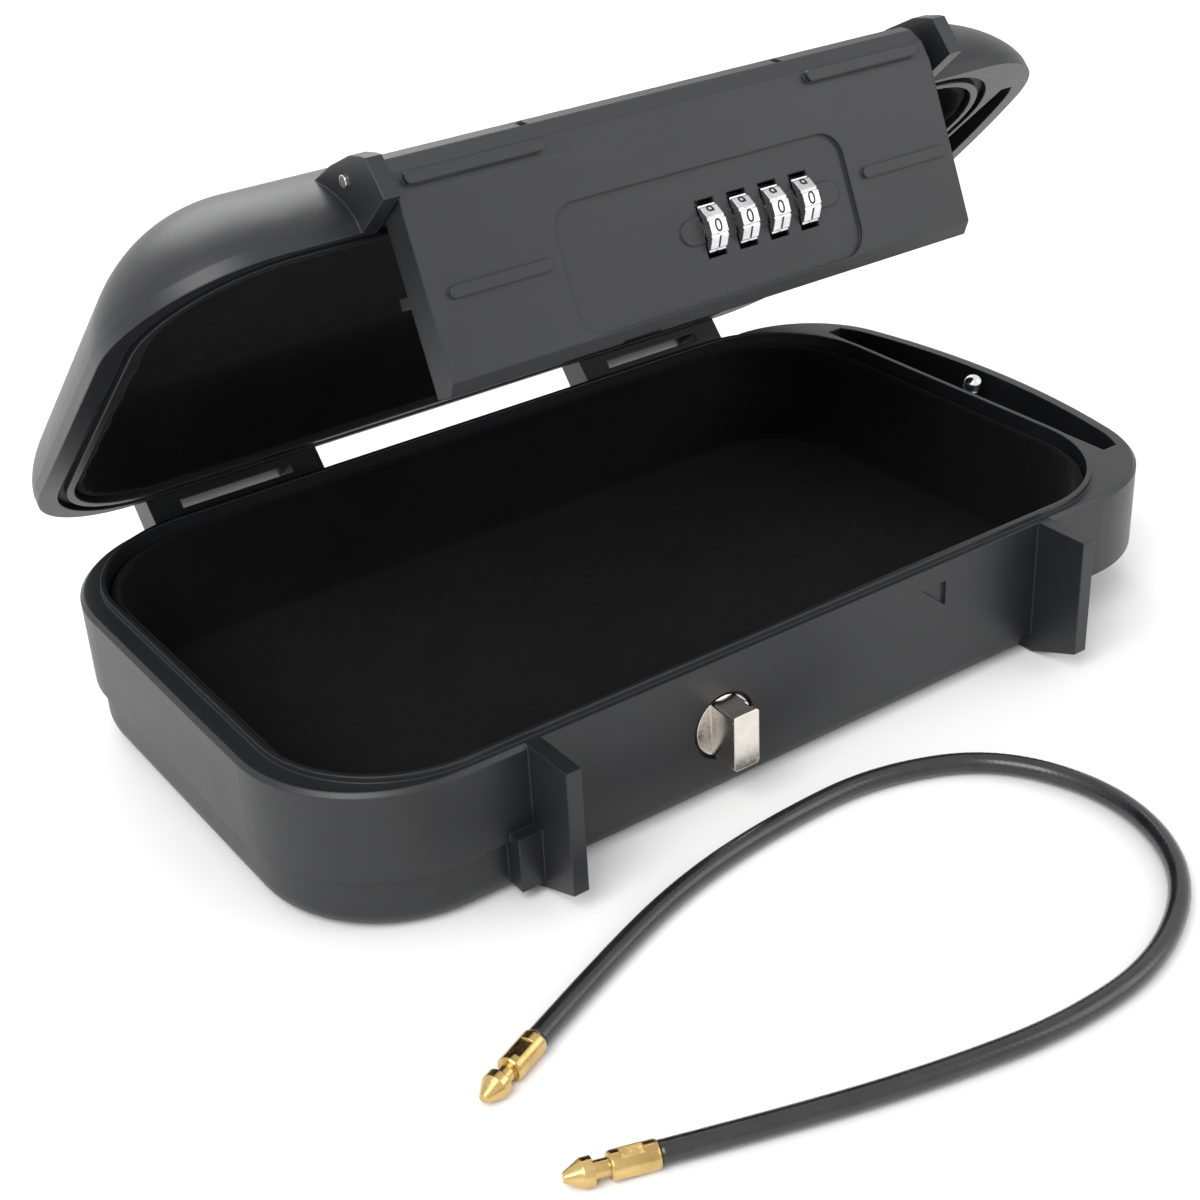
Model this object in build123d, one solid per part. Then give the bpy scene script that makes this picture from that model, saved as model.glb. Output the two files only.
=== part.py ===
"""Portable combination lock box with a hinged lid, a hinged lock flap and a loose security cable.

Frame: millimetres, +X along the box towards the cable compartment, +Y towards the lid's hinge,
+Z up. The origin is the centre of the base's flat underside. The lid and the flap are drawn
closed and then turned to the stored pose, lid open and flap hanging.
"""
from build123d import *
import math
import os

# ---- overall sizes -------------------------------------------------------------------------
length = 240.0          # base, left end to right end
depth = 133.0           # base, front to back, without ears and hinge
rim_z = 34.0            # height of the base's flat rim
lid_height = 24.0       # lid above the rim plane
lid_skirt = 2.7         # upright part of the lid's sides
dome_inset = 27.0       # how far the dome's top stands in from the rim
dome_power = 0.75       # below 1 makes the dome's flank straighter
dome_steps = 6
lid_recess = 6.0        # depth of the recess over the cable compartment
rim_gap = 0.3           # between the two rims when shut
end_radius = 200.0      # sweep of the bulged right end
left_corner = 31.5      # plan corner radii
right_corner = 30.0
wall = 2.6              # shell thickness

# ---- base ----------------------------------------------------------------------------------
belt_z = 13.5           # foot of the upper band
belt_step = 1.5         # how far the lower body stands in
lower_end_x = 102.0     # right end of the lower body
bottom_fillet = 5.0
rim_land = 3.1          # outer edge of the rim to the lip
lip_height = 1.4
lip_width = 1.2
cavity_end_x = 100.0    # right wall of the main cavity
floor_z = 2.6
shelf_z = 27.0          # floor of the cable compartment
shelf_wall = 2.2
compartment_x = 104.4   # left wall of the cable compartment
compartment_half = 50.0
port_radius = 3.0       # holes that the cable leaves by
port_y = 39.0
port_z = 21.5
pit_half = 5.0          # half width of the pit behind each port
pit_foot_z = 17.0
pit_wall = 3.4
anchor_shank = 1.6
anchor_ball = 2.5

# ---- foam ----------------------------------------------------------------------------------
foam = 2.5
foam_gap = 0.3

# ---- hinge ---------------------------------------------------------------------------------
hinge_y = 73.0
hinge_z = 22.0
knuckle_radius = 4.2
hinge_pin_radius = 1.5
pin_clearance = 0.05
strap_centres = (-65.0, 62.0)
strap_width = 46.0
strap_knuckle = 24.0    # width of the lid's knuckle in the middle
lug_width = 9.0
side_gap = 0.5
lid_open = 42.0         # stored opening in degrees

# ---- ears and flap -------------------------------------------------------------------------
ear_front_y = -79.5
ear_thick = 3.5
# Top edge of the lid's ears, front to back, in Y and Z.
ear_top = ((-79.5, 42.8), (-78.2, 43.9), (-74.5, 46.2), (-66.0, 48.8), (-57.0, 50.4), (-57.0, 47.6))
ear_gap_left = -70.2    # inner faces of the two ears
ear_gap_right = 65.3
ear_foot_z = 5.4
gusset_width = 5.5
front_wall_y = -66.0    # front wall between the ears
mark_corners = ((29.8, 29.3), (36.9, 29.4), (36.9, 23.3))
flap_gap_left = 0.6
flap_gap_right = 3.7
flap_front_y = -79.5
flap_back_y = -71.8
flap_foot_z = 0.8
flap_top_z = 46.8
flap_pin_y = -68.6
flap_pin_z = 44.1
flap_pin_radius = 1.25
flap_barrel = 2.9
flap_hang = 18.8        # how far the hanging flap tilts in, in degrees
flap_wall = 2.0

# Ends in X, and the height, of each raised bar on the flap.
rib_spans = ((-65.2, -42.2, 19.3), (36.0, 59.4, 19.3), (-67.4, -36.9, 41.2), (28.0, 58.6, 41.2))
notch_places = (-38.4, 24.4)

# ---- lock ----------------------------------------------------------------------------------
panel_left = -39.7
panel_right = 32.5
panel_foot_z = 3.6
panel_top_z = 29.5
panel_recess = 0.8
dial_pitch = 8.06
dial_first_x = -4.1
dial_count = 4
dial_radius = 5.6
dial_width = 4.2
dial_axis_y = -76.2
dial_axis_z = 17.4
pill_length = 41.0
pill_height = 5.2
window_height = 11.6
window_width = 4.7
housing_left = -40.0    # thicker lock housing on the flap's back
housing_right = 41.0
housing_top_z = 29.0
housing_back_y = -69.4
housing_plate = 0.9
spindle_radius = 1.2
sleeve_radius = 3.0
hub_radius = 2.0
hub_relief = 0.25
bearing_width = 3.0
spring_pitch = 1.17
spring_rise = 3.2
spring_strip = 1.2      # strip height measured along Z
spring_foot_z = 5.2

# ---- stud ----------------------------------------------------------------------------------
stud_x = -25.5
stud_z = 17.8
stud_block_x = 6.5
stud_block_z = 13.2
stud_front_y = -73.3
stud_disc_radius = 7.0
stud_hole_radius = 7.8
stud_hole_depth = 1.5
stud_shank_radius = 3.0
pocket_width = 9.0
pocket_top_z = 28.0
pocket_floor_y = -77.3

# ---- cable ---------------------------------------------------------------------------------
cable_radius = 2.2
cable_z = 2.6           # height of the cable's centreline on the floor
fitting_radius = 2.6
fitting_length = 16.4
neck_radius = 1.6
# Route of the cable on the floor in front of the box, fitting to fitting.
cable_route = (
    (-100.5, -105.5), (-76.0, -95.0), (-51.0, -86.5), (-25.5, -83.0), (1.5, -83.0), (26.0, -94.5),
    (35.5, -120.5), (26.5, -145.0), (2.5, -159.5), (-23.5, -161.0), (-49.5, -156.0), (-74.5, -149.0),
    (-99.5, -140.5),
)


def outline(inset):
    """Plan of the box, inset all round, with its bulged right end."""
    half = depth / 2 - inset
    left = -length / 2 + inset
    radius = end_radius - inset
    centre = length / 2 - end_radius
    right = centre + math.sqrt(radius**2 - half**2)
    tip = centre + radius
    with BuildSketch() as plan:
        with BuildLine():
            Polyline((right, half), (left, half), (left, -half), (right, -half))
            ThreePointArc((right, -half), (tip, 0), (right, half))
        make_face()
        fillet(plan.vertices().group_by(Axis.X)[0], left_corner - inset)
        fillet([v for v in plan.vertices() if abs(v.X - right) < 0.01], right_corner - inset)
    return plan.sketch


def rounded_plan(x0, x1, half, radius):
    """Rounded rectangle from x0 to x1, centred on Y."""
    return Pos((x0 + x1) / 2, 0) * RectangleRounded(x1 - x0, 2 * half, radius)


def prism(face, z0, z1):
    """Plan face extruded from z0 to z1."""
    return extrude(Pos(0, 0, z0) * face, z1 - z0)


def block(x0, x1, y0, y1, z0, z1):
    """Box given by its faces."""
    centre = Pos((x0 + x1) / 2, (y0 + y1) / 2, (z0 + z1) / 2)
    return centre * Box(x1 - x0, y1 - y0, z1 - z0)


def rod_x(x0, x1, y, z, radius):
    """Cylinder along X."""
    return Pos((x0 + x1) / 2, y, z) * Rot(0, 90, 0) * Cylinder(radius, x1 - x0)


def rod_y(x, y0, y1, z, radius):
    """Cylinder along Y."""
    return Pos(x, (y0 + y1) / 2, z) * Rot(90, 0, 0) * Cylinder(radius, y1 - y0)


def side_profile(points, x0, x1):
    """Y-Z polygon extruded along X from x0 to x1."""
    plane = Plane(origin=(x0, 0, 0), x_dir=(0, 1, 0), z_dir=(1, 0, 0))
    return extrude(plane * make_face(Polyline(*points, close=True)), x1 - x0)


def edges_at_z(shape, z):
    """Edges that lie at one height."""
    found = []
    for edge in shape.edges():
        box = edge.bounding_box()
        if abs(box.min.Z - z) < 1e-3 and box.size.Z < 1e-3:
            found.append(edge)
    return found


def turned(shape, y, z, degrees):
    """Shape turned about an X-parallel axis."""
    return Pos(0, y, z) * Rot(degrees, 0, 0) * Pos(0, -y, -z) * shape


def with_lid(shape):
    """Place a closed-lid shape in the stored, open pose."""
    return turned(shape, hinge_y, hinge_z, -lid_open)


def with_flap(shape):
    """Place a closed-flap shape in the stored, hanging pose."""
    return with_lid(turned(shape, flap_pin_y, flap_pin_z, flap_hang))


def lower_plan(inset):
    """Plan of the lower body and, inset, of the main cavity."""
    step = belt_step + inset
    half = depth / 2 - step
    return rounded_plan(-length / 2 + step, lower_end_x - inset, half, left_corner - step)


def cavity_plan(inset):
    """Plan of the lip and cavity, inset from the rim's lip line."""
    step = rim_land + inset
    half = depth / 2 - step
    left = -length / 2 + 2 * rim_land + inset
    return rounded_plan(left, cavity_end_x + lip_width - inset, half, left_corner - step)


def ear_spans():
    """X ranges of the left and right ears."""
    return ((ear_gap_left - ear_thick, ear_gap_left), (ear_gap_right, ear_gap_right + ear_thick))


def base_ears():
    """Two plate ears with rising undersides, and the gussets beside them."""
    body_y = -depth / 2 + 5
    foot = [(ear_front_y, rim_z), (ear_front_y, ear_foot_z), (-depth / 2, 0.4),
            (body_y, 0.4), (body_y, rim_z)]
    ears = None
    for x0, x1 in ear_spans():
        plate = side_profile(foot, x0, x1)
        ears = plate if ears is None else ears + plate
    return ears


def gussets():
    """Stiffening blocks on the outer sides of the ears."""
    front = -depth / 2 - 3.0
    left_x = ear_gap_left - ear_thick
    right_x = ear_gap_right + ear_thick
    left = block(left_x - gusset_width, left_x, front, -depth / 2 + 4, 3, belt_z + 2)
    right = block(right_x, right_x + gusset_width, front, -depth / 2 + 4, 3, belt_z + 2)
    return left + right


def base_body():
    """Outside of the base before hollowing."""
    band = prism(outline(0), belt_z, rim_z)
    band = chamfer(edges_at_z(band, rim_z), 0.9)
    lower = prism(lower_plan(0), 0, belt_z + 1)
    lower = fillet(edges_at_z(lower, 0), bottom_fillet)
    front = block(ear_gap_left, ear_gap_right, front_wall_y, -depth / 2 + 6, bottom_fillet, rim_z)
    lip = prism(cavity_plan(-lip_width), rim_z - 1, rim_z + lip_height)
    body = band + lower + front + lip
    slab = block(ear_gap_left, ear_gap_right, -depth, front_wall_y, belt_z - 1, rim_z + 5)
    return body - slab + base_ears() + gussets()


def hinge_lugs():
    """Base knuckles, two for each strap, standing behind the back wall."""
    lugs = None
    for centre in strap_centres:
        for side in (-1, 1):
            near = centre + side * (strap_knuckle / 2 + side_gap)
            far = near + side * lug_width
            x0, x1 = min(near, far), max(near, far)
            arm = block(x0, x1, depth / 2 - 4, hinge_y, hinge_z - knuckle_radius, hinge_z + 1)
            lug = arm + rod_x(x0, x1, hinge_y, hinge_z, knuckle_radius)
            lugs = lug if lugs is None else lugs + lug
    return lugs


def hinge_pin_span(centre):
    """X range of one hinge pin."""
    half = strap_knuckle / 2 + side_gap + lug_width
    return centre - half, centre + half


def base_shell():
    """Tray with rim, lip, ears, cable compartment and hinge lugs."""
    shell = base_body() + hinge_lugs()
    shell -= prism(cavity_plan(0), floor_z, rim_z + 10)
    end = prism(outline(shelf_wall + 1.2), shelf_z, rim_z + 10)
    shell -= end & block(compartment_x, length, -compartment_half, compartment_half, shelf_z, rim_z + 10)
    for centre in strap_centres:
        half = strap_width / 2 + 0.7
        seat_z = hinge_z + knuckle_radius + 1.2
        shell -= block(centre - half, centre + half, depth / 2 - 1.8, depth, seat_z, rim_z + 5)
        x0, x1 = hinge_pin_span(centre)
        shell -= rod_x(x0 - 1, x1 + 1, hinge_y, hinge_z, hinge_pin_radius)
    for y in (-port_y, port_y):
        room = block(compartment_x + 0.8, length, y - pit_half, y + pit_half, pit_foot_z, shelf_z + 1)
        shell -= room & prism(outline(pit_wall), pit_foot_z, shelf_z + 1)
        shell -= rod_x(compartment_x + 6, length, y, port_z, port_radius)
    shell -= rod_y(stud_x, -depth, front_wall_y + stud_hole_depth, stud_z, stud_hole_radius)
    shell -= rod_y(stud_x, -depth, -depth / 2 + 12, stud_z, stud_shank_radius + 0.1)
    return shell - corner_mark() - Pos(anchor_x(), 0, shelf_z) * Cylinder(anchor_shank, 12)


def corner_mark():
    """Shallow triangular recess in the front wall."""
    face = make_face(Polyline(*mark_corners, close=True))
    plane = Plane((0, front_wall_y + 0.7, 0), x_dir=(1, 0, 0), z_dir=(0, -1, 0))
    return extrude(plane * face, 4)


def anchor_x():
    """X of the ball-headed anchor pin, midway across the compartment."""
    return (compartment_x + length / 2 - shelf_wall - 1.2) / 2


def base_liner():
    """Foam tray that lines the cavity."""
    top = rim_z - 1.5
    outer = prism(cavity_plan(foam_gap), floor_z + foam_gap, top)
    inner = prism(cavity_plan(foam_gap + foam), floor_z + foam_gap + foam, top + 1)
    room = rod_y(stud_x, -depth, -depth / 2 + 9.6, stud_z, 7.5)
    return outer - inner - room


def cable_anchor_pin():
    """Chrome ball-headed pin in the cable compartment."""
    x = anchor_x()
    ball_z = rim_z - 1.0
    rise = ball_z - shelf_z + 5
    shank = Pos(x, 0, ball_z - rise / 2) * Cylinder(anchor_shank, rise)
    collar = Pos(x, 0, shelf_z + 0.6) * Cylinder(2.6, 1.2)
    return shank + collar + Pos(x, 0, ball_z) * Sphere(anchor_ball)


def hinge_pins():
    """One steel pin for each strap."""
    pins = []
    for centre in strap_centres:
        x0, x1 = hinge_pin_span(centre)
        pins.append(rod_x(x0 + 0.2, x1 - 0.2, hinge_y, hinge_z, hinge_pin_radius))
    return Compound(children=pins)


def lock_stud():
    """Nickel stud: block head with a catch groove, disc flange and threaded shank."""
    disc_front = front_wall_y + stud_hole_depth - 1.2
    edge_x = stud_x + stud_block_x / 2
    head = block(edge_x - stud_block_x, edge_x, stud_front_y, disc_front + 0.2,
                 stud_z - stud_block_z / 2, stud_z + stud_block_z / 2)
    head = fillet(head.edges().filter_by(Axis.Y), 0.8)
    groove = block(edge_x - 1.0, edge_x + 1.0, -71.6, -69.9, 0, stud_z + stud_block_z)
    disc = rod_y(stud_x, disc_front, front_wall_y + stud_hole_depth, stud_z, stud_disc_radius)
    shank = rod_y(stud_x, front_wall_y, -depth / 2 + 9.2, stud_z, stud_shank_radius)
    return head - groove + disc + shank


def stud_washer():
    """Plain washer behind the front wall."""
    y = -depth / 2 + rim_land
    ring = rod_y(stud_x, y, y + 1.0, stud_z, 6.4)
    return ring - rod_y(stud_x, y - 1, y + 3, stud_z, stud_shank_radius + 0.15)


def stud_nut():
    """Hexagon nut on the stud's shank."""
    y = -depth / 2 + rim_land + 1.0
    hexagon = Plane((stud_x, y, stud_z), x_dir=(1, 0, 0), z_dir=(0, 1, 0)) * RegularPolygon(5.6, 6)
    return extrude(hexagon, 3.6) - rod_y(stud_x, y - 1, y + 6, stud_z, stud_shank_radius)


def dome(plan, start, inset, foot, top):
    """Rounded lid volume on a plan: upright at first, then curving in to a flat top."""
    sections = []
    for step in range(dome_steps + 1):
        angle = math.pi / 2 * step / dome_steps
        inward = inset * (1 - math.cos(angle)) ** dome_power
        height = foot + (top - foot) * math.sin(angle)
        sections.append(Pos(0, 0, height) * plan(start + inward))
    return loft(sections)


def lid_outer():
    """Outside of the lid before hollowing, closed pose."""
    foot = rim_z + rim_gap
    knee = foot + lid_skirt
    return prism(outline(0), foot, knee) + dome(outline, 0, dome_inset, knee, rim_z + lid_height)


def lid_hollow(gap, foot, top):
    """Inside volume of the lid, or of its foam, closed pose."""
    knee = rim_z + rim_gap + lid_skirt - 0.5
    return prism(cavity_plan(gap), foot, knee) + dome(cavity_plan, gap, dome_inset - 8.0, knee, top)


def lid_ears():
    """Lid ears that carry the flap's pin."""
    foot = rim_z + rim_gap
    skin = -depth / 2 + 1.2
    back = -depth / 2 + 4.6
    points = [(ear_front_y, foot), *ear_top, (back, 43.0), (back, foot + 5), (skin, foot + 5), (skin, foot)]
    ears = None
    for x0, x1 in ear_spans():
        plate = side_profile(points, x0, x1)
        ears = plate if ears is None else ears + plate
    return ears


def strap(centre):
    """One hinge strap with its knuckle, closed pose."""
    half = strap_width / 2
    foot = rim_z + rim_gap
    outer_y = hinge_y + knuckle_radius
    inner_y = depth / 2 + 0.8
    knee = hinge_z + knuckle_radius + 1.8
    skin = depth / 2 - 1.2
    root = depth / 2 - 5.0
    points = [(skin, foot + 0.5), (inner_y, foot + 0.5), (inner_y, knee), (outer_y, knee),
              (outer_y - 0.6, foot + 4.5), (skin - 0.6, foot + 8.5), (root, foot + 8.5),
              (root, foot + 4.4), (skin, foot + 4.4)]
    plate = side_profile(points, centre - half, centre + half)
    window = block(centre - 15, centre + 15, inner_y - 1, outer_y + 2, knee + 2.2, knee + 4.4)
    left = centre - strap_knuckle / 2
    right = centre + strap_knuckle / 2
    hook = block(left, right, hinge_y, outer_y, hinge_z, knee + 1)
    knuckle = rod_x(left, right, hinge_y, hinge_z, knuckle_radius)
    return plate - window + hook + knuckle


def lid_shell():
    """Lid with rim groove, cable recess, ears and hinge straps, closed pose."""
    top = rim_z + lid_height
    foot = rim_z + rim_gap
    ceiling = top - wall
    lid = lid_outer()
    lid -= lid_hollow(lip_width + 1.0, foot - 1, ceiling)
    groove = prism(cavity_plan(-lip_width - 0.5), foot - 1, foot + 3.2)
    lid -= groove - prism(cavity_plan(0.5), foot - 2, foot + 5)
    end = prism(outline(shelf_wall + 2.2), foot - 1, foot + lid_recess)
    room = block(compartment_x, length, -compartment_half, compartment_half, foot - 1, foot + lid_recess)
    lid -= end & room
    lid -= block(ear_gap_left, ear_gap_right, -depth, front_wall_y + 1.0, foot - 1, top + 1)
    lid += lid_ears()
    for centre in strap_centres:
        lid += strap(centre)
        x0, x1 = hinge_pin_span(centre)
        lid -= rod_x(x0 - 1, x1 + 1, hinge_y, hinge_z, hinge_pin_radius + pin_clearance)
    bore = flap_pin_radius + pin_clearance
    return lid - rod_x(ear_gap_left - 10, ear_gap_right + 10, flap_pin_y, flap_pin_z, bore)


def lid_seal():
    """Rubber gasket at the bottom of the lid's groove, closed pose."""
    foot = rim_z + rim_gap
    ring = prism(cavity_plan(-lip_width - 0.4), foot + 1.5, foot + 3.1)
    return ring - prism(cavity_plan(0.4), foot, foot + 5)


def lid_liner():
    """Foam pad in the lid, closed pose."""
    foot = rim_z + rim_gap
    gap = lip_width + 1.0 + foam_gap
    ceiling = rim_z + lid_height - wall - foam_gap
    outer = lid_hollow(gap, foot + 1.0, ceiling)
    return outer - lid_hollow(gap + foam, foot, ceiling - foam)


def flap_ends():
    """X range of the flap between the ears."""
    return ear_gap_left + flap_gap_left, ear_gap_right - flap_gap_right


def flap_profile():
    """Side outline of the flap, closed pose."""
    x0, x1 = flap_ends()
    points = [(flap_front_y, flap_foot_z + 2.6), (flap_front_y, flap_top_z - 8.4),
              (flap_front_y + 1.0, flap_top_z - 4.2), (flap_front_y + 3.6, flap_top_z - 1.2),
              (flap_front_y + 6.4, flap_top_z), (flap_pin_y, flap_top_z - 0.1),
              (flap_pin_y, flap_pin_z - 1.5), (flap_back_y, flap_pin_z - 5),
              (flap_back_y, flap_foot_z), (flap_front_y + 2.4, flap_foot_z)]
    return side_profile(points, x0, x1) + rod_x(x0, x1, flap_pin_y, flap_pin_z, flap_barrel)


def ribs():
    """Four raised bars on the flap's face."""
    bars = None
    for x0, x1, z in rib_spans:
        bar = block(x0, x1, flap_front_y - 0.7, flap_front_y + 1.5, z - 1.2, z + 1.2)
        bar = fillet(bar.edges().filter_by(Axis.Y), 1.1)
        bars = bar if bars is None else bars + bar
    return bars


def dial_x(index):
    """X of one dial's mid-plane."""
    return dial_first_x + index * dial_pitch


def facing_front(x, y, z):
    """Plane that faces the front, with its origin at a point."""
    return Plane((x, y, z), x_dir=(1, 0, 0), z_dir=(0, -1, 0))


def panel():
    """Recess of the dial panel in the flap's face."""
    face = facing_front((panel_left + panel_right) / 2, flap_front_y + panel_recess,
                        (panel_foot_z + panel_top_z) / 2)
    return extrude(face * RectangleRounded(panel_right - panel_left, panel_top_z - panel_foot_z, 5.5), 3)


def pill():
    """Raised oval bar that the dials stand in."""
    middle = (dial_x(0) + dial_x(dial_count - 1)) / 2 + 0.9
    face = facing_front(middle, flap_front_y + panel_recess + 0.2, dial_axis_z)
    return extrude(face * SlotOverall(pill_length, pill_height), 0.6)


def lock_flap():
    """Front moulding of the flap with its panel, dial windows and lock hollow, closed pose."""
    flap = flap_profile() + ribs() - panel() + pill()
    inner_front = flap_front_y + flap_wall + 0.2
    flap -= block(housing_left + 3, housing_right - 3, inner_front, 0,
                  panel_foot_z + 0.6, housing_top_z - 1.5)
    for index in range(dial_count):
        x = dial_x(index)
        flap -= block(x - window_width / 2, x + window_width / 2, -depth, inner_front + 1,
                      dial_axis_z - window_height / 2, dial_axis_z + window_height / 2)
        flap -= rod_x(x - 3.0, x + 5.4, dial_axis_y, dial_axis_z, hub_radius + hub_relief)
    for x in bearing_places():
        flap += block(x, x + bearing_width, inner_front - 0.5, -73.6, dial_axis_z - 3, dial_axis_z + 3)
    flap -= dial_spindle()
    flap -= block(stud_x - pocket_width / 2, stud_x + pocket_width / 2, pocket_floor_y, 0, 0, pocket_top_z)
    flap -= rod_x(-length, length, flap_pin_y, flap_pin_z, flap_pin_radius + pin_clearance)
    for x, z in screw_places():
        flap -= rod_y(x, flap_back_y - 5.5, 0, z, 1.0)
    for x in notch_places:
        flap -= block(x, x + 1.8, flap_front_y, flap_pin_y - 1.6, flap_top_z - 1.2, flap_top_z + 1)
    x0 = flap_ends()[0]
    tab = block(x0, x0 + 2.0, flap_back_y - 0.5, -68.0, 18.4, 20.8)
    return flap + tab


def bearing_places():
    """Left edges of the two blocks that hold the spindle."""
    return dial_x(0) - window_width / 2 - 1.6 - bearing_width, dial_x(dial_count - 1) + 6.2


def screw_places():
    """X and Z of the back cover's four screws."""
    return [(x, z) for x in (housing_left + 1.6, housing_right - 1.6) for z in (6.0, housing_top_z - 3.5)]


def lock_back_cover():
    """Cover that closes the lock hollow from behind, with the slot for the stud, closed pose."""
    low = flap_foot_z + 2.0
    cover = block(housing_left - 1.5, housing_right + 1.5, flap_back_y, housing_back_y, low, housing_top_z)
    cover = chamfer(cover.edges().filter_by(Axis.X).group_by(Axis.Y)[-1], 1.0)
    cover -= block(housing_left + 3.2, housing_right - 3.2, flap_back_y - 1, housing_back_y - housing_plate,
                   low + 2.2, housing_top_z - 1.7)
    cover -= block(stud_x - pocket_width / 2, stud_x + pocket_width / 2, -depth, 0, 0, pocket_top_z)
    for x, z in screw_places():
        cover -= rod_y(x, -depth, 0, z, 1.25)
        cover -= rod_y(x, housing_back_y - 1.3, 0, z, 2.4)
    return cover


def cover_screws():
    """Four slotted screws, heads sunk in the back cover, closed pose."""
    screws = []
    for x, z in screw_places():
        head = rod_y(x, housing_back_y - 1.3, housing_back_y - 0.1, z, 2.2)
        head -= block(x - 1.6, x + 1.6, housing_back_y - 0.6, 0, z - 0.3, z + 0.3)
        screws.append(head + rod_y(x, flap_back_y - 5.0, housing_back_y - 1.2, z, 1.0))
    return screws


def dial(index):
    """Ten-sided dial ring with finger notches between its number flats, closed pose."""
    x = dial_x(index)
    plane = Plane((x - dial_width / 2, dial_axis_y, dial_axis_z), x_dir=(0, -1, 0), z_dir=(1, 0, 0))
    ring = extrude(plane * Rot(0, 0, 18) * RegularPolygon(dial_radius, 10), dial_width)
    for step in range(10):
        angle = math.radians(18 + 36 * step)
        y = dial_axis_y - dial_radius * math.cos(angle)
        z = dial_axis_z + dial_radius * math.sin(angle)
        ring -= rod_x(x - dial_width, x + dial_width, y, z, 0.35)
    return ring - rod_x(x - 5, x + 5, dial_axis_y, dial_axis_z, sleeve_radius)


def code_sleeve(index):
    """Sleeve fixed inside a dial, with a flat cut on its hub, closed pose."""
    x = dial_x(index)
    sleeve = rod_x(x - dial_width / 2, x + dial_width / 2, dial_axis_y, dial_axis_z, sleeve_radius)
    sleeve += rod_x(x, x + dial_width / 2 + 2.6, dial_axis_y, dial_axis_z, hub_radius)
    flat = block(x + dial_width / 2 + 0.6, x + 10, dial_axis_y - 5, dial_axis_y + 5,
                 dial_axis_z - 5, dial_axis_z - hub_radius + 0.5)
    return sleeve - flat - rod_x(x - 10, x + 10, dial_axis_y, dial_axis_z, spindle_radius + pin_clearance)


def dial_spindle():
    """Steel spindle that the sleeves turn on, closed pose."""
    left, right = bearing_places()
    return rod_x(left + 0.6, right + bearing_width - 0.6, dial_axis_y, dial_axis_z, spindle_radius)


def flap_pin():
    """Steel rod that joins the flap to the lid's ears, closed pose."""
    left = ear_gap_left - ear_thick - 0.4
    right = ear_gap_right + ear_thick + 0.4
    return rod_x(left, right, flap_pin_y, flap_pin_z, flap_pin_radius)


def latch_plate():
    """Sliding plate with a tongue for the stud's groove and a finger under each hub, closed pose."""
    tongue_x = stud_x + pocket_width / 2 + 0.4
    right = dial_x(dial_count - 1) + 8.0
    plate = block(tongue_x, right, -73.4, -72.2, 5.0, 9.4)
    plate += block(tongue_x, tongue_x + 4.6, -73.4, -72.2, 5.0, 23.0)
    plate += block(tongue_x, tongue_x + 4.6, -73.4, -70.6, 12.5, 23.0)
    plate -= block(tongue_x - 1, tongue_x + 1.4, -80, -71.5, 12.0, 24.0)
    for index in range(dial_count):
        x = dial_x(index) + dial_width / 2
        plate += block(x + 2.8, x + 3.5, -77.0, -72.2, 8.0, dial_axis_z - hub_radius - 0.4)
    return plate


def latch_spring():
    """Folded leaf spring that pushes the latch plate towards the stud, closed pose."""
    left = dial_x(dial_count - 1) + 8.3
    folds = [(left + spring_pitch * step, spring_foot_z + spring_rise * (step % 2)) for step in range(8)]
    top = [(x, z + spring_strip) for x, z in reversed(folds)]
    face = make_face(Polyline(*folds, *top, close=True))
    return extrude(facing_front(0, -72.2, 0) * face, 1.4)


def detent_plate():
    """Spring strip above the dials with a small bump over each, closed pose."""
    left = bearing_places()[0]
    right = bearing_places()[1] + bearing_width
    foot = dial_axis_z + dial_radius + 0.6
    strip = block(left, right, -76.6, -72.6, foot, foot + 0.4)
    for index in range(dial_count):
        x = dial_x(index)
        strip += rod_x(x - 1.2, x + 1.2, -75.6, foot + 0.15, 0.45)
    return strip


def cable_points():
    """Route of the cable as vectors."""
    return [Vector(x, y, cable_z) for x, y in cable_route]


def cable_radii(points):
    """Bend radius at each inner point of the route."""
    radii = []
    for before, here, after in zip(points, points[1:], points[2:]):
        turn = math.radians((here - before).get_angle(after - here))
        shorter = min((here - before).length, (after - here).length)
        radii.append(0.45 * shorter / math.tan(turn / 2))
    return radii


def cable_jacket():
    """Coated steel cable lying on the floor."""
    points = cable_points()
    radii = cable_radii(points)
    path = FilletPolyline(*points, radius=radii)
    start = Plane(origin=points[0], z_dir=(points[1] - points[0]).normalized())
    tube = sweep(start * Circle(cable_radius), path)
    print("cable bend radii", [round(r) for r in radii])
    print("cable length", round(path.length, 1))
    return tube


def cable_fitting(tip, end):
    """Brass end fitting: crimped sleeve with two flats, notched neck and blunt nose."""
    r = fitting_radius
    nose = fitting_length
    outline_points = [(0, 0), (r - 0.15, 0), (r, 0.4), (r, 8.2), (r - 0.3, 8.6), (neck_radius, 8.6),
                      (neck_radius, 11.4), (r, 11.4), (r, 13.2), (0.9, nose), (0, nose)]
    profile = Plane.XZ * make_face(Polyline(*outline_points, close=True))
    body = revolve(profile, Axis.Z)
    for side in (-1, 1):
        body -= Pos(side * (r + 1.0 - 0.35), 0, 4.6) * Box(2.0, 8, 4.2)
    place = Plane(origin=end, x_dir=(0, 0, 1), z_dir=(end - tip).normalized())
    return place * body


def cable_fittings():
    """Both end fittings, in route order."""
    points = cable_points()
    return cable_fitting(points[1], points[0]), cable_fitting(points[-2], points[-1])


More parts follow.
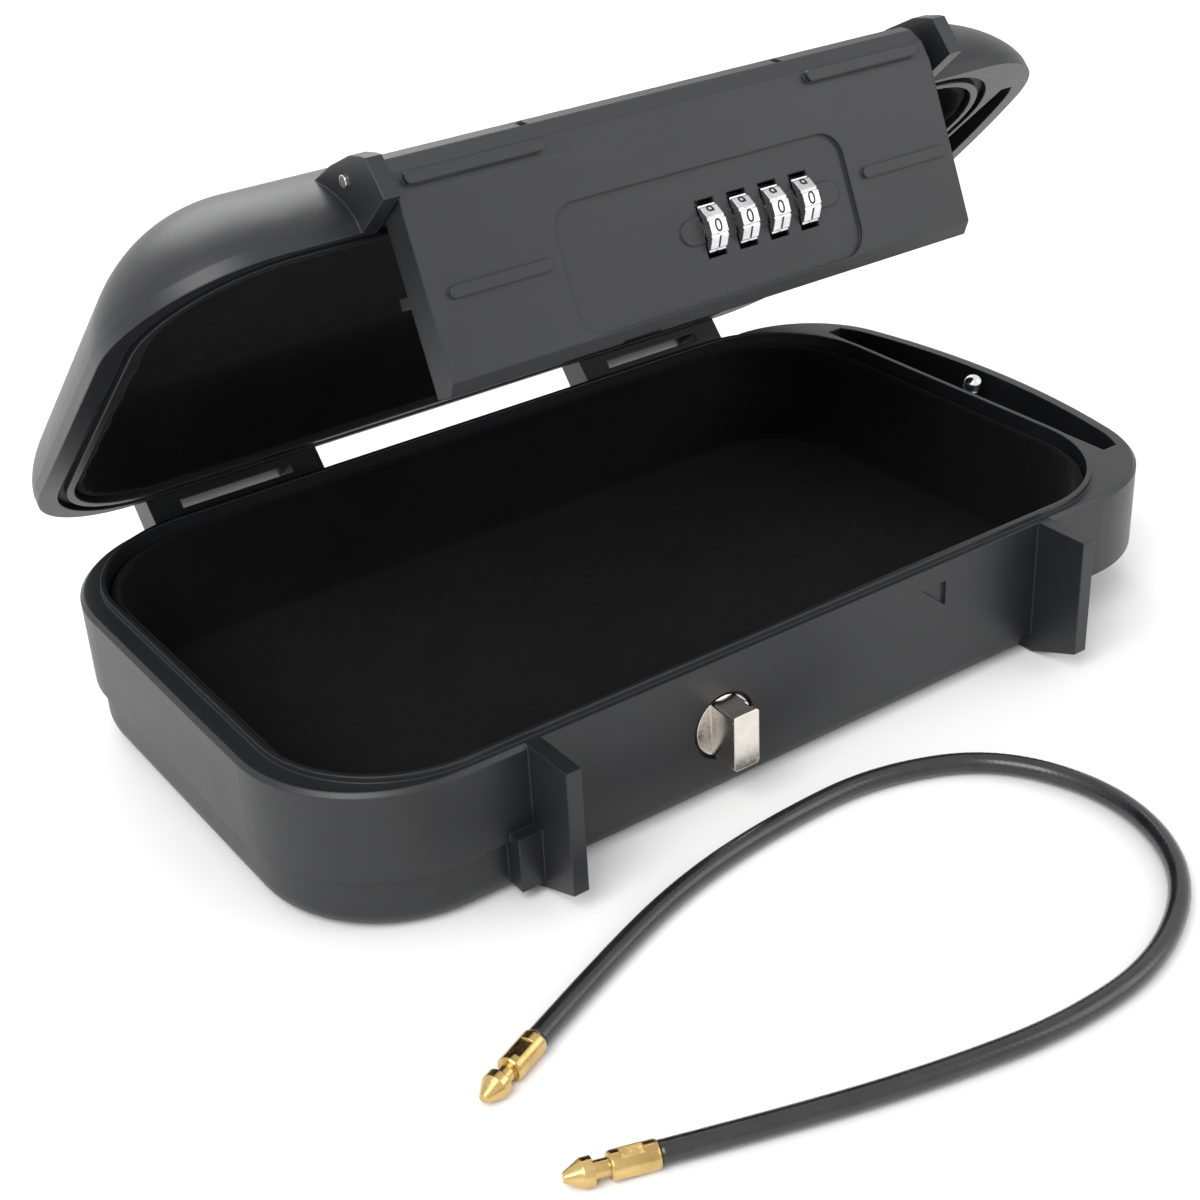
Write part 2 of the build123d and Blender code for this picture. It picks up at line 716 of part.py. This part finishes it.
def build_all():
    """Every node in its stored place."""
    nodes = {
        "base_shell": base_shell(),
        "base_liner": base_liner(),
        "hinge_pins": hinge_pins(),
        "lock_stud": lock_stud(),
        "stud_washer": stud_washer(),
        "stud_nut": stud_nut(),
        "cable_anchor_pin": cable_anchor_pin(),
        "lid_shell": with_lid(lid_shell()),
        "lid_liner": with_lid(lid_liner()),
        "lid_seal": with_lid(lid_seal()),
        "lock_flap": with_flap(lock_flap()),
        "lock_back_cover": with_flap(lock_back_cover()),
        "cover_screws": Compound(children=[with_flap(s) for s in cover_screws()]),
        "dial_spindle": with_flap(dial_spindle()),
        "flap_pin": with_flap(flap_pin()),
        "latch_plate": with_flap(latch_plate()),
        "latch_spring": with_flap(latch_spring()),
        "detent_plate": with_flap(detent_plate()),
        "cable_jacket": cable_jacket(),
    }
    for index in range(dial_count):
        nodes[f"dial_{index + 1}"] = with_flap(dial(index))
        nodes[f"code_sleeve_{index + 1}"] = with_flap(code_sleeve(index))
    nodes["cable_fitting_a"], nodes["cable_fitting_b"] = cable_fittings()
    return nodes


os.makedirs("parts", exist_ok=True)
for name, shape in build_all().items():
    export_step(shape, f"parts/{name}.step")
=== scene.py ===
import bpy
import bmesh
import math
from mathutils import Matrix, Vector, noise


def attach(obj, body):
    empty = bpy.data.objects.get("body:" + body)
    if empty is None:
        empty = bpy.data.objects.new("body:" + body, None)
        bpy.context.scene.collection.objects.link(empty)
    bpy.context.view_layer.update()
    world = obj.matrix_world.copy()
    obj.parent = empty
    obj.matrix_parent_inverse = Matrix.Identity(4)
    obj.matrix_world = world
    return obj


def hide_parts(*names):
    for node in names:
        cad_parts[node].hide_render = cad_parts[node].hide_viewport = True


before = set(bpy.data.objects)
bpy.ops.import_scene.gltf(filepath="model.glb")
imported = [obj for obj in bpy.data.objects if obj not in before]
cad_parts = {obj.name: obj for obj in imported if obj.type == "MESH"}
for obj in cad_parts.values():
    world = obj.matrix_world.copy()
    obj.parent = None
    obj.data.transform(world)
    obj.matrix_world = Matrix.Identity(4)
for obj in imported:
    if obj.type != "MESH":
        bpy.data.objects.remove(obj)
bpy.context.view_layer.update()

MM = 0.001

# ---- camera --------------------------------------------------------------------------------
CAMERA_PLACE = (-0.2347, -0.3328, 0.2436)
CAMERA_RIGHT = (0.81285, -0.58056, -0.04724)
CAMERA_UP = (0.32320, 0.38207, 0.86577)
CAMERA_BACK = (-0.48458, -0.71901, 0.49820)
FOCAL_MM = 58.76
SENSOR_MM = 36.0


def link(obj):
    """Put an object into the scene."""
    bpy.context.scene.collection.objects.link(obj)
    return obj


def make_camera():
    """Camera in front and above, left of the middle."""
    data = bpy.data.cameras.new("camera")
    data.lens = FOCAL_MM
    data.sensor_width = SENSOR_MM
    data.clip_start = 0.01
    camera = link(bpy.data.objects.new("camera", data))
    turn = Matrix((CAMERA_RIGHT, CAMERA_UP, CAMERA_BACK)).transposed()
    camera.matrix_world = Matrix.Translation(CAMERA_PLACE) @ turn.to_4x4()
    bpy.context.scene.camera = camera


# ---- cable ---------------------------------------------------------------------------------
CABLE_RADIUS = 2.2
CABLE_Z = 2.6
CABLE_ROUTE = (
    (-100.5, -105.5), (-76.0, -95.0), (-51.0, -86.5), (-25.5, -83.0), (1.5, -83.0), (26.0, -94.5),
    (35.5, -120.5), (26.5, -145.0), (2.5, -159.5), (-23.5, -161.0), (-49.5, -156.0), (-74.5, -149.0),
    (-99.5, -140.5),
)
STRANDS = 11            # ridges round the coating
STRAND_HEIGHT = 0.07
LAY_LENGTH = 17.0       # one turn of the strands
CABLE_SIDES = 66
SPLINE_STEPS = 48


def cable_line():
    """Points in millimetres read along the NURBS spline of the route."""
    data = bpy.data.curves.new("cable_line", "CURVE")
    data.dimensions = "3D"
    data.resolution_u = SPLINE_STEPS
    spline = data.splines.new("NURBS")
    spline.points.add(len(CABLE_ROUTE) - 1)
    for point, (x, y) in zip(spline.points, CABLE_ROUTE):
        point.co = (x * MM, y * MM, CABLE_Z * MM, 1.0)
    spline.order_u = 3
    spline.use_endpoint_u = True
    probe = bpy.data.objects.new("cable_line", data)
    mesh = bpy.data.meshes.new_from_object(probe)
    points = [v.co / MM for v in mesh.vertices]
    bpy.data.objects.remove(probe)
    return points


def mesh_object(name, verts, faces):
    """Smooth-shaded object from points in millimetres."""
    mesh = bpy.data.meshes.new(name)
    mesh.from_pydata([Vector(v) * MM for v in verts], [], faces)
    mesh.validate()
    obj = link(bpy.data.objects.new(name, mesh))
    mesh.polygons.foreach_set("use_smooth", [True] * len(mesh.polygons))
    return obj


def ring_faces(rings, sides):
    """Quads that join rings of points, with a cap at each end."""
    faces = []
    for r in range(rings - 1):
        for s in range(sides):
            t = (s + 1) % sides
            faces.append((r * sides + s, r * sides + t, (r + 1) * sides + t, (r + 1) * sides + s))
    faces.append(tuple(reversed(range(sides))))
    faces.append(tuple(range((rings - 1) * sides, rings * sides)))
    return faces


def make_cable():
    """Coated cable whose twisted strands show as fine slanting ridges."""
    line = cable_line()
    verts = []
    along = 0.0
    for index, point in enumerate(line):
        before = line[max(index - 1, 0)]
        after = line[min(index + 1, len(line) - 1)]
        forward = (after - before).normalized()
        side = Vector((forward.y, -forward.x, 0.0))
        if index:
            along += (point - line[index - 1]).length
        for s in range(CABLE_SIDES):
            angle = 2 * math.pi * s / CABLE_SIDES
            ridge = abs(math.sin(STRANDS / 2 * (angle + 2 * math.pi * along / LAY_LENGTH)))
            radius = CABLE_RADIUS - STRAND_HEIGHT * (1 - ridge)
            outward = math.cos(angle) * side + math.sin(angle) * Vector((0, 0, 1))
            verts.append(point + radius * outward)
    cable = mesh_object("cable", verts, ring_faces(len(line), CABLE_SIDES))
    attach(cable, "base")
    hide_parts("cable_jacket")
    return cable


make_camera()
cable = make_cable()


# ---- materials -----------------------------------------------------------------------------
NOISE_LOW, NOISE_HIGH = 0.3, 0.7    # the part of a noise's range that is used


class Nodes:
    """Small helper that builds one material's node tree."""

    def __init__(self, name):
        self.material = bpy.data.materials.new(name)
        self.material.use_nodes = True
        self.tree = self.material.node_tree
        self.shader = self.tree.nodes["Principled BSDF"]
        self.place = self.add("ShaderNodeTexCoord").outputs["Object"]

    def add(self, kind, **values):
        """New node with its inputs or settings filled in."""
        node = self.tree.nodes.new(kind)
        for key, value in values.items():
            if key in node.inputs:
                node.inputs[key].default_value = value
            else:
                setattr(node, key, value)
        return node

    def link(self, a, b):
        """Join two sockets."""
        self.tree.links.new(a, b)

    def noise(self, scale, detail=4.0, rough=0.55, stretch=None):
        """Noise value, stretched where asked."""
        node = self.add("ShaderNodeTexNoise", Scale=scale, Detail=detail, Roughness=rough)
        source = self.place
        if stretch:
            mapping = self.add("ShaderNodeMapping")
            mapping.inputs["Scale"].default_value = stretch
            self.link(self.place, mapping.inputs["Vector"])
            source = mapping.outputs["Vector"]
        self.link(source, node.inputs["Vector"])
        return node.outputs["Fac"]

    def ramp(self, value, low, high):
        """Map a noise value to a range of numbers."""
        node = self.add("ShaderNodeMapRange")
        node.inputs["From Min"].default_value = NOISE_LOW
        node.inputs["From Max"].default_value = NOISE_HIGH
        node.inputs["To Min"].default_value = low
        node.inputs["To Max"].default_value = high
        self.link(value, node.inputs["Value"])
        return node.outputs["Result"]

    def colour(self, value, dark, light):
        """Colour that runs between two by a noise value."""
        node = self.add("ShaderNodeValToRGB")
        node.color_ramp.elements[0].position = NOISE_LOW
        node.color_ramp.elements[0].color = (*dark, 1)
        node.color_ramp.elements[1].position = NOISE_HIGH
        node.color_ramp.elements[1].color = (*light, 1)
        self.link(value, node.inputs["Fac"])
        self.link(node.outputs["Color"], self.shader.inputs["Base Color"])

    def bump(self, value, strength, distance, under=None):
        """Bump from a value, on top of another normal."""
        node = self.add("ShaderNodeBump", Strength=strength, Distance=distance)
        self.link(value, node.inputs["Height"])
        if under:
            self.link(under, node.inputs["Normal"])
        self.link(node.outputs["Normal"], self.shader.inputs["Normal"])
        return node.outputs["Normal"]

    def soft_edges(self, radius):
        """Rounded-looking edges."""
        node = self.add("ShaderNodeBevel", samples=6, Radius=radius)
        return node.outputs["Normal"]

    def rough(self, value):
        """Drive the roughness."""
        self.link(value, self.shader.inputs["Roughness"])


def plastic(name, dark, light, low, high, grain=0.05):
    """Satin moulded plastic with fine grain, flow marks and soft edges."""
    n = Nodes(name)
    n.colour(n.noise(18.0, 3.0), dark, light)
    n.rough(n.ramp(n.noise(55.0, 5.0, 0.6, (1.0, 1.0, 2.5)), low, high))
    edges = n.soft_edges(0.0005)
    coarse = n.bump(n.noise(240.0, 3.0), grain * 0.6, 0.0002, edges)
    n.bump(n.noise(2600.0, 2.0), grain, 0.00008, coarse)
    n.shader.inputs["IOR"].default_value = 1.5
    return n.material


def foam(name):
    """Near-black closed-cell foam with a faint nap."""
    n = Nodes(name)
    n.colour(n.noise(60.0, 4.0), (0.0012, 0.0012, 0.0014), (0.0035, 0.0035, 0.004))
    n.rough(n.ramp(n.noise(400.0, 2.0), 0.9, 1.0))
    coarse = n.bump(n.noise(90.0, 3.0), 0.35, 0.0006)
    n.bump(n.noise(1500.0, 3.0), 0.5, 0.0002, coarse)
    n.shader.inputs["Sheen Weight"].default_value = 0.03
    n.shader.inputs["Sheen Roughness"].default_value = 0.6
    n.shader.inputs["Specular IOR Level"].default_value = 0.15
    return n.material


def metal(name, dark, light, low, high, stretch, edge=0.0002, brushing=0.12):
    """Metal with brushing along one axis and a little tarnish."""
    n = Nodes(name)
    n.shader.inputs["Metallic"].default_value = 1.0
    n.colour(n.noise(150.0, 4.0), dark, light)
    n.rough(n.ramp(n.noise(900.0, 3.0, 0.6, stretch), low, high))
    n.bump(n.noise(1600.0, 2.0, 0.5, stretch), brushing, 0.00005, n.soft_edges(edge))
    return n.material


def coating(name):
    """Glossy vinyl over dark strands."""
    n = Nodes(name)
    n.colour(n.noise(120.0, 3.0), (0.006, 0.006, 0.007), (0.016, 0.016, 0.018))
    n.rough(n.ramp(n.noise(300.0, 3.0), 0.22, 0.38))
    n.bump(n.noise(900.0, 2.0), 0.05, 0.0001)
    n.shader.inputs["Coat Weight"].default_value = 0.4
    n.shader.inputs["Coat Roughness"].default_value = 0.15
    return n.material


def rubber(name):
    """Soft black rubber."""
    n = Nodes(name)
    n.colour(n.noise(200.0, 3.0), (0.004, 0.004, 0.004), (0.012, 0.012, 0.012))
    n.rough(n.ramp(n.noise(500.0, 3.0), 0.55, 0.75))
    n.bump(n.noise(1800.0, 2.0), 0.15, 0.0001)
    return n.material


def ink(name):
    """Black enamel in the digits."""
    n = Nodes(name)
    n.colour(n.noise(400.0, 2.0), (0.002, 0.002, 0.002), (0.008, 0.008, 0.008))
    n.rough(n.ramp(n.noise(600.0, 2.0), 0.35, 0.5))
    return n.material


ALONG_X = (0.06, 1.0, 1.0)
EVEN = (1.0, 1.0, 1.0)
MATERIALS = {
    "shell": plastic("shell_plastic", (0.009, 0.0095, 0.011), (0.012, 0.0125, 0.0145), 0.385, 0.425),
    "flap": plastic("flap_plastic", (0.011, 0.0115, 0.013), (0.0145, 0.015, 0.0172), 0.41, 0.455),
    "foam": foam("foam"),
    "gasket": rubber("gasket_rubber"),
    "cable": coating("cable_coating"),
    "steel": metal("steel", (0.42, 0.42, 0.43), (0.58, 0.58, 0.59), 0.28, 0.42, ALONG_X),
    "nickel": metal("nickel", (0.74, 0.69, 0.62), (0.90, 0.86, 0.80), 0.16, 0.30, (1.0, 0.1, 1.0), 0.0004),
    "chrome": metal("chrome", (0.72, 0.72, 0.74), (0.86, 0.86, 0.87), 0.10, 0.20, ALONG_X, 0.0002, 0.05),
    "dial": metal("dial_chrome", (0.62, 0.62, 0.64), (0.80, 0.80, 0.82), 0.18, 0.30, ALONG_X, 0.0003, 0.08),
    "brass": metal("brass", (0.50, 0.33, 0.12), (0.72, 0.52, 0.22), 0.16, 0.30, EVEN, 0.0003, 0.08),
    "ink": ink("digit_ink"),
}
NODE_MATERIALS = {
    "base_shell": "shell", "lid_shell": "shell", "lock_flap": "flap", "lock_back_cover": "shell",
    "lid_seal": "gasket",
    "hinge_pins": "steel", "lock_stud": "nickel", "stud_washer": "steel", "stud_nut": "steel",
    "cable_anchor_pin": "chrome", "cover_screws": "steel", "dial_spindle": "steel", "flap_pin": "nickel",
    "latch_plate": "steel", "latch_spring": "steel", "detent_plate": "steel", "cable_fitting_a": "brass",
    "cable_fitting_b": "brass", "base_liner": "foam", "lid_liner": "foam",
}


def dress(obj, name):
    """Give an object one material."""
    obj.data.materials.clear()
    obj.data.materials.append(MATERIALS[name])


for node, name in NODE_MATERIALS.items():
    dress(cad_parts[node], name)
for number in range(1, 5):
    dress(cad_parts[f"dial_{number}"], "dial")
    dress(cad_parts[f"code_sleeve_{number}"], "brass")
dress(cable, "cable")


# ---- digits --------------------------------------------------------------------------------
HINGE_Y, HINGE_Z, LID_OPEN = 73.0, 22.0, 42.0
PIN_Y, PIN_Z, FLAP_HANG = -68.6, 44.1, 18.8
DIAL_PITCH = 8.06
DIAL_FIRST_X = -4.1
DIAL_Y, DIAL_Z = -76.2, 17.4
DIAL_APOTHEM = 5.326
DIGIT_HEIGHT = 2.7
DIGIT_RAISE = 0.03
DIGIT_STEP = 36         # degrees from one number to the next


def turned(y, z, degrees):
    """Turn about an X-parallel axis, in millimetres."""
    there = Matrix.Translation((0, y, z))
    return there @ Matrix.Rotation(math.radians(degrees), 4, "X") @ there.inverted()


def digit_mesh(character):
    """Flat number in the X-Y plane, centred, in millimetres."""
    data = bpy.data.curves.new("digit", "FONT")
    data.body = character
    data.size = DIGIT_HEIGHT * 1.4
    data.offset = 0.04
    data.align_x = "CENTER"
    data.align_y = "CENTER"
    probe = bpy.data.objects.new("digit", data)
    mesh = bpy.data.meshes.new_from_object(probe)
    bpy.data.objects.remove(probe)
    return mesh


def make_digits(number):
    """Ten enamelled numbers round one dial, as one piece."""
    place = turned(HINGE_Y, HINGE_Z, -LID_OPEN) @ turned(PIN_Y, PIN_Z, FLAP_HANG)
    centre = Matrix.Translation((DIAL_FIRST_X + (number - 1) * DIAL_PITCH, DIAL_Y, DIAL_Z))
    upright = Matrix.Rotation(math.pi / 2, 4, "X")
    stand = Matrix.Translation((0, -DIAL_APOTHEM - DIGIT_RAISE, 0)) @ upright
    joined = bmesh.new()
    for digit in range(10):
        mesh = digit_mesh(str(digit))
        around = Matrix.Rotation(math.radians(DIGIT_STEP * digit), 4, "X")
        mesh.transform(centre @ around @ stand)
        joined.from_mesh(mesh)
    mesh = bpy.data.meshes.new(f"digits_{number}")
    joined.to_mesh(mesh)
    mesh.transform(Matrix.Scale(MM, 4) @ place)
    digits = link(bpy.data.objects.new(f"digits_{number}", mesh))
    dress(digits, "ink")
    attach(digits, f"dial_{number}")


for number in range(1, 5):
    make_digits(number)


# ---- foam ----------------------------------------------------------------------------------
FOAM_CELL = 0.0011
FOAM_UNEVEN = 0.00012
FOAM_GRAIN = 90.0


def make_foam(node, body):
    """Foam lining with softened edges and a slightly uneven face."""
    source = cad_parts[node]
    mesh = source.data.copy()
    mesh.transform(source.matrix_world)
    pad = link(bpy.data.objects.new(f"{node}_foam", mesh))
    remesh = pad.modifiers.new("cells", "REMESH")
    remesh.mode = "VOXEL"
    remesh.voxel_size = FOAM_CELL
    smooth = pad.modifiers.new("soften", "SMOOTH")
    smooth.iterations = 3
    soft = bpy.data.meshes.new_from_object(pad.evaluated_get(bpy.context.evaluated_depsgraph_get()))
    pad.modifiers.clear()
    pad.data = soft
    normals = [vertex.normal.copy() for vertex in soft.vertices]
    for vertex, normal in zip(soft.vertices, normals):
        vertex.co -= normal * FOAM_UNEVEN * (0.5 + 0.5 * noise.noise(vertex.co * FOAM_GRAIN))
    soft.polygons.foreach_set("use_smooth", [True] * len(soft.polygons))
    dress(pad, "foam")
    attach(pad, body)
    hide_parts(node)


make_foam("base_liner", "base")
make_foam("lid_liner", "lid")


# ---- stage ---------------------------------------------------------------------------------
FLOOR_HALF = 3000
LIGHT_SIZE = 0.9


def make_floor():
    """Plain pale floor."""
    corners = [(x * FLOOR_HALF, y * FLOOR_HALF, 0) for x, y in ((-1, -1), (1, -1), (1, 1), (-1, 1))]
    floor = mesh_object("floor", corners, [(0, 1, 2, 3)])
    n = Nodes("floor")
    n.colour(n.noise(3.0), (0.86, 0.86, 0.86), (0.88, 0.88, 0.88))
    n.rough(n.ramp(n.noise(5.0), 0.8, 0.9))
    floor.data.materials.append(n.material)


def area_light(name, place, target, watts):
    """Square soft light aimed at a point."""
    data = bpy.data.lights.new(name, "AREA")
    data.energy = watts
    data.size = LIGHT_SIZE
    light = link(bpy.data.objects.new(name, data))
    light.location = place
    aim = Vector(target) - Vector(place)
    light.rotation_euler = aim.to_track_quat("-Z", "Y").to_euler()


def make_light():
    """White surroundings and three soft boxes."""
    world = bpy.data.worlds.new("studio")
    world.use_nodes = True
    background = world.node_tree.nodes["Background"]
    background.inputs["Color"].default_value = (1, 1, 1, 1)
    background.inputs["Strength"].default_value = 0.9
    bpy.context.scene.world = world
    area_light("key", (-0.9, -0.5, 1.1), (0, 0, 0.05), 14)
    area_light("fill", (0.9, -0.9, 0.8), (0, 0, 0.05), 4)
    area_light("back", (0.2, 1.1, 0.9), (0, 0, 0.08), 8)
    bpy.context.scene.view_settings.view_transform = "Standard"


make_floor()
make_light()
